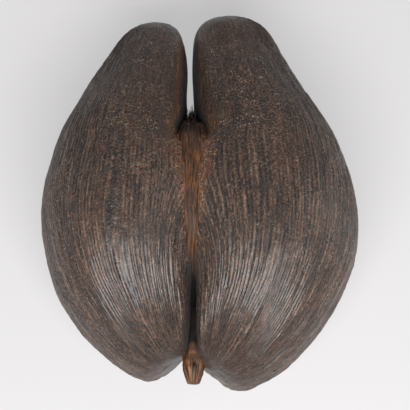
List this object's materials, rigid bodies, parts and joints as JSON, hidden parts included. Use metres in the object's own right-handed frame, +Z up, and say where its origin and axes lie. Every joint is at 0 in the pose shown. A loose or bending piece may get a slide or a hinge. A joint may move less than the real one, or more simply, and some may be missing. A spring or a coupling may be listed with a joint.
{
  "type": "coco de mer nut",
  "caption": "Large two-lobed woody nut, lying flat: lobes joined in the middle, an open slot between them at one end and a deep cleft with a short stalk stub at the other.",
  "frame": {"origin": "bottom centre of the bounding box, on the plane the nut rests on", "axes": "+Y from the stalk end towards the open slot, +Z up, +X towards the fuller lobe"},
  "size_m": [0.259, 0.3249, 0.1657],
  "materials": {
    "nut_shell": "dry woody shell, satin on the ridges"
  },
  "bodies": {
    "root": {"nut": "nut_shell"}
  },
  "joints": []
}
